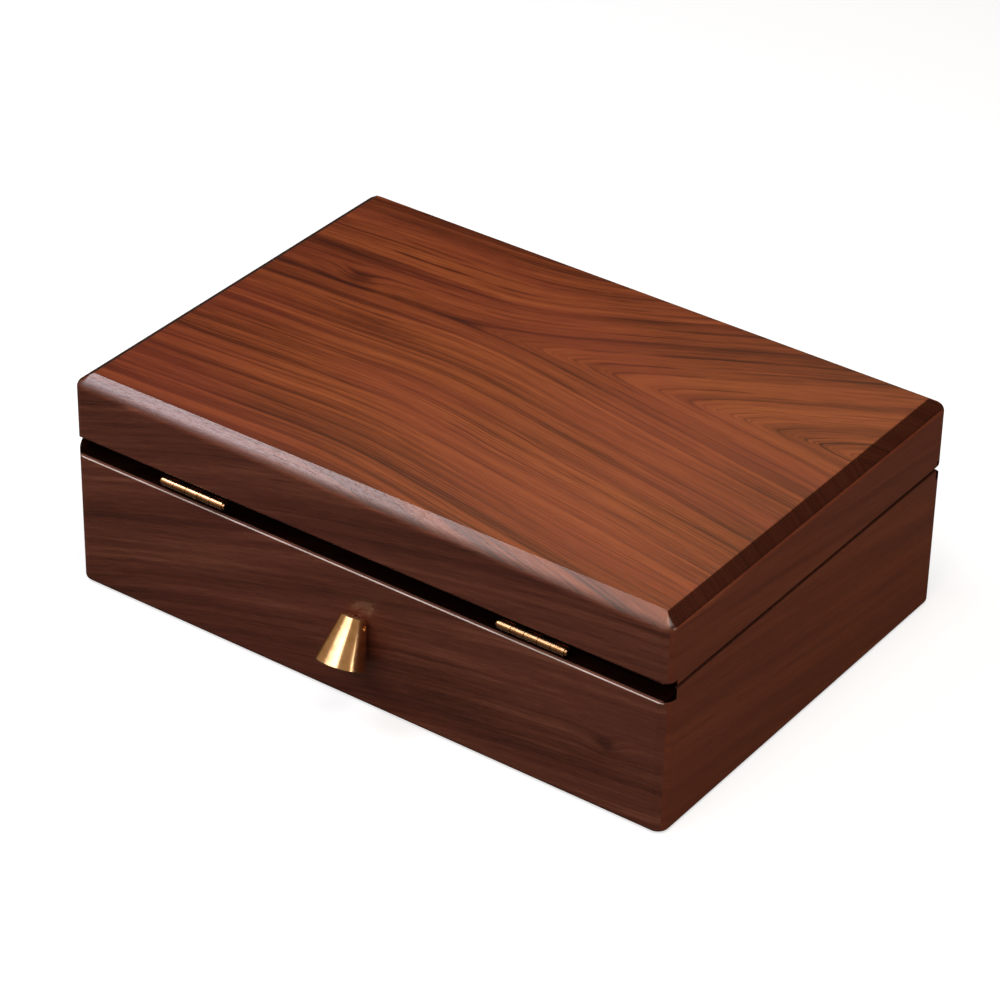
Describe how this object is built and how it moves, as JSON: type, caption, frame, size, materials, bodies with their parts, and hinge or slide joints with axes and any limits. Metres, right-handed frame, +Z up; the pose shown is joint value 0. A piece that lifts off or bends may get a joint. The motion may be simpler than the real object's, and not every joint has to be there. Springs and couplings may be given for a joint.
{
  "type": "watch box",
  "caption": "Rectangular walnut watch box with a bevelled lid on two brass butt hinges, a conical brass drop pull, and removable watch cushions in divided compartments.",
  "frame": {"origin": "middle of the underside of the box, on the surface it stands on", "axes": "+X to the right along the hinge side as that side is faced, +Y from the hinge side to the front, +Z up"},
  "size_m": [0.28, 0.214, 0.095],
  "materials": {
    "walnut_sides": "satin lacquered dark walnut, grain along each wall",
    "walnut_top": "satin lacquered red-brown walnut, grain along the box",
    "plywood": "plain sanded plywood",
    "felt": "pressed wool felt",
    "suede_lining": "microfibre suede over board",
    "suede_cushion": "microfibre suede over foam, seamed",
    "brass_hardware": "polished brass",
    "brass_pull": "turned satin brass",
    "steel": "nickel-plated steel"
  },
  "bodies": {
    "base": {"base_back_wall": "walnut_sides", "base_front_wall": "walnut_sides", "base_left_wall": "walnut_sides", "base_right_wall": "walnut_sides", "bottom_panel": "plywood", "base_felt": "felt", "floor_lining": "suede_lining", "base_back_lining": "suede_lining", "base_front_lining": "suede_lining", "base_left_lining": "suede_lining", "base_right_lining": "suede_lining", "long_divider": "suede_lining", "cross_divider_1": "suede_lining", "cross_divider_2": "suede_lining", "cross_divider_3": "suede_lining", "cross_divider_4": "suede_lining", "left_hinge_base_leaf": "brass_hardware", "left_hinge_pin": "brass_hardware", "right_hinge_base_leaf": "brass_hardware", "right_hinge_pin": "brass_hardware", "base_hinge_screws": "brass_hardware", "base_magnets": "steel", "pull_stud": "brass_pull", "pull_washer": "brass_pull", "pull_nut": "steel"},
    "lid": {"lid_top_board": "walnut_top", "lid_back_wall": "walnut_sides", "lid_front_wall": "walnut_sides", "lid_left_wall": "walnut_sides", "lid_right_wall": "walnut_sides", "lid_back_lining": "suede_lining", "lid_front_lining": "suede_lining", "lid_left_lining": "suede_lining", "lid_right_lining": "suede_lining", "lid_pad": "suede_cushion", "left_hinge_lid_leaf": "brass_hardware", "right_hinge_lid_leaf": "brass_hardware", "lid_hinge_screws": "brass_hardware", "lid_magnets": "steel"},
    "pull": {"pull_cone": "brass_pull", "pull_pin": "brass_pull"},
    "cushion_1": {"watch_cushion_1": "suede_cushion"},
    "cushion_2": {"watch_cushion_2": "suede_cushion"},
    "cushion_3": {"watch_cushion_3": "suede_cushion"},
    "cushion_4": {"watch_cushion_4": "suede_cushion"},
    "cushion_5": {"watch_cushion_5": "suede_cushion"},
    "cushion_6": {"watch_cushion_6": "suede_cushion"},
    "cushion_7": {"watch_cushion_7": "suede_cushion"},
    "cushion_8": {"watch_cushion_8": "suede_cushion"},
    "cushion_9": {"watch_cushion_9": "suede_cushion"},
    "cushion_10": {"watch_cushion_10": "suede_cushion"}
  },
  "joints": [
    {"name": "lid_hinge", "type": "hinge", "parent": "base", "child": "lid", "pos_m": [0, -0.0966, 0.06345], "axis": [1, 0, 0], "range_deg": [0, 105]},
    {"name": "pull_swing", "type": "hinge", "parent": "base", "child": "pull", "pos_m": [0, -0.1005, 0.0383], "axis": [-1, 0, 0], "range_deg": [0, 60]},
    {"name": "cushion_1_lift", "type": "slide", "parent": "base", "child": "cushion_1", "axis": [0, 0, 1], "range_m": [0, 0.023]},
    {"name": "cushion_2_lift", "type": "slide", "parent": "base", "child": "cushion_2", "axis": [0, 0, 1], "range_m": [0, 0.023]},
    {"name": "cushion_3_lift", "type": "slide", "parent": "base", "child": "cushion_3", "axis": [0, 0, 1], "range_m": [0, 0.023]},
    {"name": "cushion_4_lift", "type": "slide", "parent": "base", "child": "cushion_4", "axis": [0, 0, 1], "range_m": [0, 0.023]},
    {"name": "cushion_5_lift", "type": "slide", "parent": "base", "child": "cushion_5", "axis": [0, 0, 1], "range_m": [0, 0.023]},
    {"name": "cushion_6_lift", "type": "slide", "parent": "base", "child": "cushion_6", "axis": [0, 0, 1], "range_m": [0, 0.023]},
    {"name": "cushion_7_lift", "type": "slide", "parent": "base", "child": "cushion_7", "axis": [0, 0, 1], "range_m": [0, 0.023]},
    {"name": "cushion_8_lift", "type": "slide", "parent": "base", "child": "cushion_8", "axis": [0, 0, 1], "range_m": [0, 0.023]},
    {"name": "cushion_9_lift", "type": "slide", "parent": "base", "child": "cushion_9", "axis": [0, 0, 1], "range_m": [0, 0.023]},
    {"name": "cushion_10_lift", "type": "slide", "parent": "base", "child": "cushion_10", "axis": [0, 0, 1], "range_m": [0, 0.023]}
  ]
}
